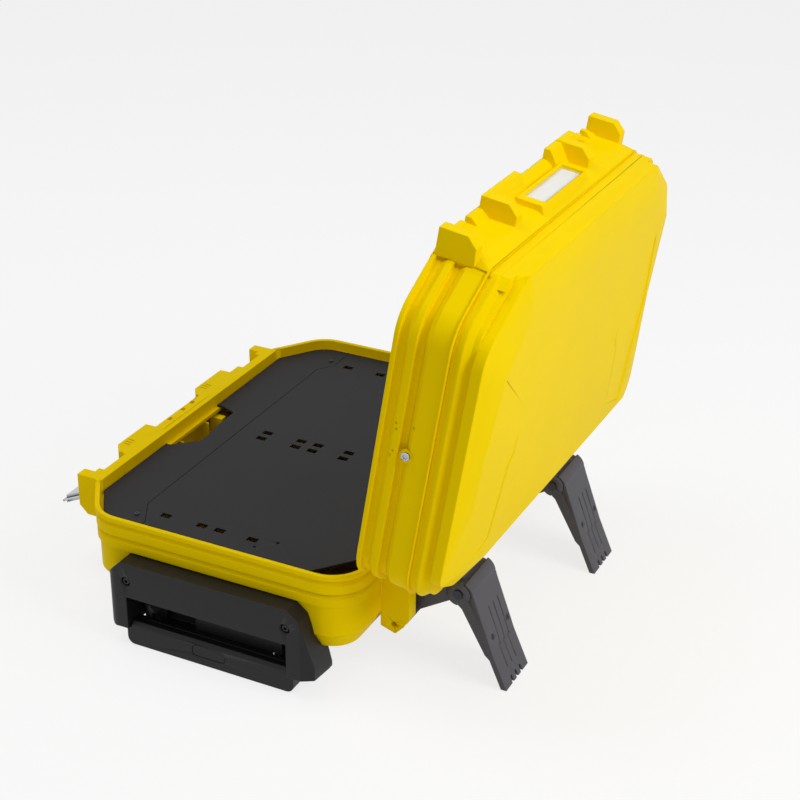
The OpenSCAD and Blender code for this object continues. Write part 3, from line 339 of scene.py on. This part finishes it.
def moulded(name, colour, gloss, roughness, grain, depth, shift, sheen=(1, 1, 1)):
    """Plastic with a moulded grain, and slow clouds in its tone and roughness."""
    material, tree, main = shader(name)
    main.inputs["IOR"].default_value = PLASTIC_IOR
    main.inputs["Specular IOR Level"].default_value = gloss
    main.inputs["Specular Tint"].default_value = (*sheen, 1)
    cloud = add_noise(tree, CLOUD_SCALE, CLOUD_DETAIL)
    dark = [channel * (1 - shift) for channel in colour]
    tree.links.new(add_tones(tree, cloud, dark, colour), main.inputs["Base Color"])
    clouded = add_range(tree, cloud, roughness - GLOSSIER, roughness + DULLER)
    tree.links.new(clouded, main.inputs["Roughness"])
    fine = add_noise(tree, grain, GRAIN_DETAIL)
    tree.links.new(add_relief(tree, fine, depth, GRAIN_STRENGTH), main.inputs["Normal"])
    print(name, "has a grain of", round(depth / MM, 2), "mm")
    return material


yellow = moulded(
    "yellow_plastic", (0.95, 0.68, 0.0), gloss=0.02, roughness=0.42,
    grain=1500, depth=0.12 * MM, shift=0.035, sheen=(1, 0.8, 0.12),
)
black = moulded(
    "black_plastic", (0.0085, 0.0082, 0.009), gloss=0.28, roughness=0.42,
    grain=1300, depth=0.15 * MM, shift=0.15,
)
charcoal = moulded(
    "charcoal_plastic", (0.018, 0.0175, 0.0185), gloss=0.2, roughness=0.62,
    grain=1700, depth=0.2 * MM, shift=0.12,
)
leg_grey = moulded(
    "leg_plastic", (0.07, 0.067, 0.08), gloss=0.35, roughness=0.48,
    grain=1300, depth=0.15 * MM, shift=0.12,
)

# %% [markdown]
# ## Metal
#
# The latches are zinc plated, so their gloss is cloudy. The screws in the dark pieces are
# blackened. The pull tubes are drawn, and their dark colour is painted shade, because nothing
# bright shows in the shaded finger space. Drawing leaves faint lines along their length: the same
# noise does it, squeezed a hundred times along the tube. Shade is painted into sockets and
# corners, darker where they are deep. It could be painted by hand, but an Ambient Occlusion node
# finds those places on every piece by itself.

# %% Metals
# How far the painted shade in recesses and corners reaches
SHADE_REACH = 5 * MM
METAL_DETAIL = 4
METAL_RELIEF = 0.03 * MM
METAL_STRENGTH = 0.2


def metal(name, colour, low, high, scale, stretch=(1, 1, 1)):
    """Metal whose roughness wanders between two values, with shade painted into its recesses."""
    material, tree, main = shader(name)
    main.inputs["Metallic"].default_value = 1
    main.inputs["Base Color"].default_value = (*colour, 1)
    # An Ambient Occlusion node paints shade into the metal's recesses and corners
    painted_shade = tree.nodes.new("ShaderNodeAmbientOcclusion")
    painted_shade.inputs["Color"].default_value = (*colour, 1)
    painted_shade.inputs["Distance"].default_value = SHADE_REACH
    tree.links.new(painted_shade.outputs["Color"], main.inputs["Base Color"])
    cloud = add_noise(tree, scale, METAL_DETAIL, stretch)
    tree.links.new(add_range(tree, cloud, low, high), main.inputs["Roughness"])
    tree.links.new(add_relief(tree, cloud, METAL_RELIEF, METAL_STRENGTH), main.inputs["Normal"])
    print(name, "has a roughness from", low, "to", high)
    return material


zinc = metal("zinc_steel", (0.5, 0.51, 0.53), 0.22, 0.42, 60)
blackened = metal("dark_steel", (0.05, 0.05, 0.055), 0.32, 0.5, 90)
# The tube's dark colour is painted shade, standing in for the shade of the finger space
drawn_tube = metal("tube_aluminium", (0.13, 0.13, 0.135), 0.3, 0.45, 900, (0.01, 1, 1))

# %% [markdown]
# ## Rubber, card and window
#
# The tyres and the lid's seal are matt rubber with the chalky bloom that rubber gets with age. The
# label is bare uncoated card, and its fibres lie mostly along it. A thin clear window covers it,
# a little smoky where it has been wiped. Each could be one flat colour, but then the window would
# vanish and the rubber would look like the black plastic.


# %% Rubber, card and window
def soft_rubber():
    """Matt rubber with a chalky bloom."""
    material, tree, main = shader("rubber")
    main.inputs["Specular IOR Level"].default_value = 0.25
    cloud = add_noise(tree, 35, 5)
    bloom = add_tones(tree, cloud, (0.011, 0.011, 0.011), (0.022, 0.021, 0.02))
    tree.links.new(bloom, main.inputs["Base Color"])
    tree.links.new(add_range(tree, cloud, 0.65, 0.85), main.inputs["Roughness"])
    return material


def plain_card():
    """Uncoated card with short fibres."""
    material, tree, main = shader("white_card")
    fibres = add_noise(tree, 700, 5, (1, 0.3, 1))
    tree.links.new(add_tones(tree, fibres, (0.83, 0.83, 0.81), (0.9, 0.9, 0.885)), main.inputs["Base Color"])
    main.inputs["Roughness"].default_value = 0.7
    return material


def clear_window():
    """Thin clear plastic, a little smoky where it has been wiped."""
    material, tree, main = shader("clear_window")
    main.inputs["Base Color"].default_value = (0.93, 0.94, 0.94, 1)
    main.inputs["Alpha"].default_value = 0.22
    wipes = add_noise(tree, 40, 3, (0.2, 1, 1))
    tree.links.new(add_range(tree, wipes, 0.1, 0.24), main.inputs["Roughness"])
    return material


rubber = soft_rubber()
card = plain_card()
window = clear_window()
print("also made", rubber.name, card.name, window.name)

# %% [markdown]
# ## Dressing the solid pieces
#
# The record names a finish for every piece, so the materials go on by that name. They could be
# chosen piece by piece, but then a new screw would stay bare until somebody remembered it.

# %% Materials on the solid pieces
finish_of_slot = {
    "yellow_shell": yellow,
    "black_plastic": black,
    "deck_plastic": charcoal,
    "leg_plastic": leg_grey,
    "zinc_steel": zinc,
    "dark_steel": blackened,
    "tube_aluminium": drawn_tube,
    "seal_rubber": rubber,
    "tyre_rubber": rubber,
    "card": card,
    "clear_plastic": window,
}
slot_of_node = {row["node"]: row["material_slot"] for row in frame["record"]["subparts"]}
for name, slot in slot_of_node.items():
    nodes[name].data.materials.clear()
    nodes[name].data.materials.append(finish_of_slot[slot])
print("dressed", len(slot_of_node), "pieces in", len(finish_of_slot), "finishes")

# %% [markdown]
# ## Moulded edges
#
# No moulding has a knife edge. On the real case every rib and corner has a small radius, and it
# is this radius that draws the bright lines in a picture. The solids come with sharp edges and a
# mesh that is split between their faces. A stack of modifiers rounds them and leaves the mesh
# itself alone: the first welds the faces together and marks the edges to round, the next cuts the
# radius, and the last keeps broad faces flat in the shading. The other way, a new mesh for each
# piece, would drift from the solids.
#
# Short edges are the facets of small round forms, such as hinge barrels and screw holes. They stay
# sharp, because there a radius as long as the edge itself would fold over its neighbours.

# %% Which edges to round
SHORT_EDGE = 2.2 * MM
SHARP_ANGLE = math.radians(28)
EDGE_MARK = "bevel_weight_edge"


def edge_marks(group):
    """One on each sharp edge that is long enough to be rounded, and zero elsewhere."""
    bend = group.nodes.new("GeometryNodeInputMeshEdgeAngle")
    ends = group.nodes.new("GeometryNodeInputMeshEdgeVertices")
    length = group.nodes.new("ShaderNodeVectorMath")
    length.operation = "DISTANCE"
    group.links.new(ends.outputs["Position 1"], length.inputs[0])
    group.links.new(ends.outputs["Position 2"], length.inputs[1])
    sharp = add_math(group, "GREATER_THAN", bend.outputs["Unsigned Angle"], SHARP_ANGLE)
    long_enough = add_math(group, "GREATER_THAN", length.outputs["Value"], SHORT_EDGE)
    return add_math(group, "MULTIPLY", sharp, long_enough)


# %% A node group that welds, smooths and marks
WELD_GAP = 0.03 * MM


def weld_and_mark():
    """Joins the faces of a solid, shades them smooth and marks the edges to round."""
    group = bpy.data.node_groups.new("weld_and_mark", "GeometryNodeTree")
    group.interface.new_socket("Geometry", in_out="INPUT", socket_type="NodeSocketGeometry")
    group.interface.new_socket("Geometry", in_out="OUTPUT", socket_type="NodeSocketGeometry")
    start = group.nodes.new("NodeGroupInput")
    weld = group.nodes.new("GeometryNodeMergeByDistance")
    weld.inputs["Distance"].default_value = WELD_GAP
    smooth = group.nodes.new("GeometryNodeSetShadeSmooth")
    mark = group.nodes.new("GeometryNodeStoreNamedAttribute")
    mark.data_type = "FLOAT"
    mark.domain = "EDGE"
    mark.inputs["Name"].default_value = EDGE_MARK
    end = group.nodes.new("NodeGroupOutput")
    group.links.new(start.outputs[0], weld.inputs["Geometry"])
    group.links.new(weld.outputs["Geometry"], smooth.inputs["Geometry"])
    group.links.new(smooth.outputs["Geometry"], mark.inputs["Geometry"])
    group.links.new(edge_marks(group), mark.inputs["Value"])
    group.links.new(mark.outputs["Geometry"], end.inputs[0])
    return group


welding = weld_and_mark()
print("edges under", round(SHORT_EDGE / MM, 1), "mm stay sharp")

# %% [markdown]
# ## How round each piece is
#
# Thick mouldings have nearly a millimetre of radius, the thin deck less than half, and bent or
# turned steel only the touch that keeps it from cutting. One radius for all would melt the latch
# wires or leave the shells too crisp, so it goes by finish, with a few pieces of their own.

# %% Round the edges of each piece
# Edge radius of each finish and of single pieces, in millimetres
edge_radius = {
    "yellow_shell": 0.9, "black_plastic": 0.9, "deck_plastic": 0.4, "leg_plastic": 0.8,
    "zinc_steel": 0.15, "dark_steel": 0.15, "tyre_rubber": 0.8,
}
own_radius = {"latch_plates": 0.25, "release_button": 0.6, "lid_cover": 0.8}
EDGE_STEPS = 2
FLAT_WEIGHT = 80


def round_edges(piece, radius):
    """Rounds a solid's sharp edges with modifiers, in millimetres."""
    join = piece.modifiers.new("weld", "NODES")
    join.node_group = welding
    edge = piece.modifiers.new("edge", "BEVEL")
    edge.width = radius * MM
    edge.segments = EDGE_STEPS
    edge.limit_method = "WEIGHT"
    edge.edge_weight = EDGE_MARK
    edge.use_clamp_overlap = False
    edge.loop_slide = False
    edge.miter_outer = "MITER_ARC"
    shade = piece.modifiers.new("shade", "WEIGHTED_NORMAL")
    shade.weight = FLAT_WEIGHT


rounded = 0
for name, slot in slot_of_node.items():
    radius = own_radius.get(name, edge_radius.get(slot))
    if radius:
        round_edges(nodes[name], radius)
        rounded += 1
print("rounded the edges of", rounded, "pieces")
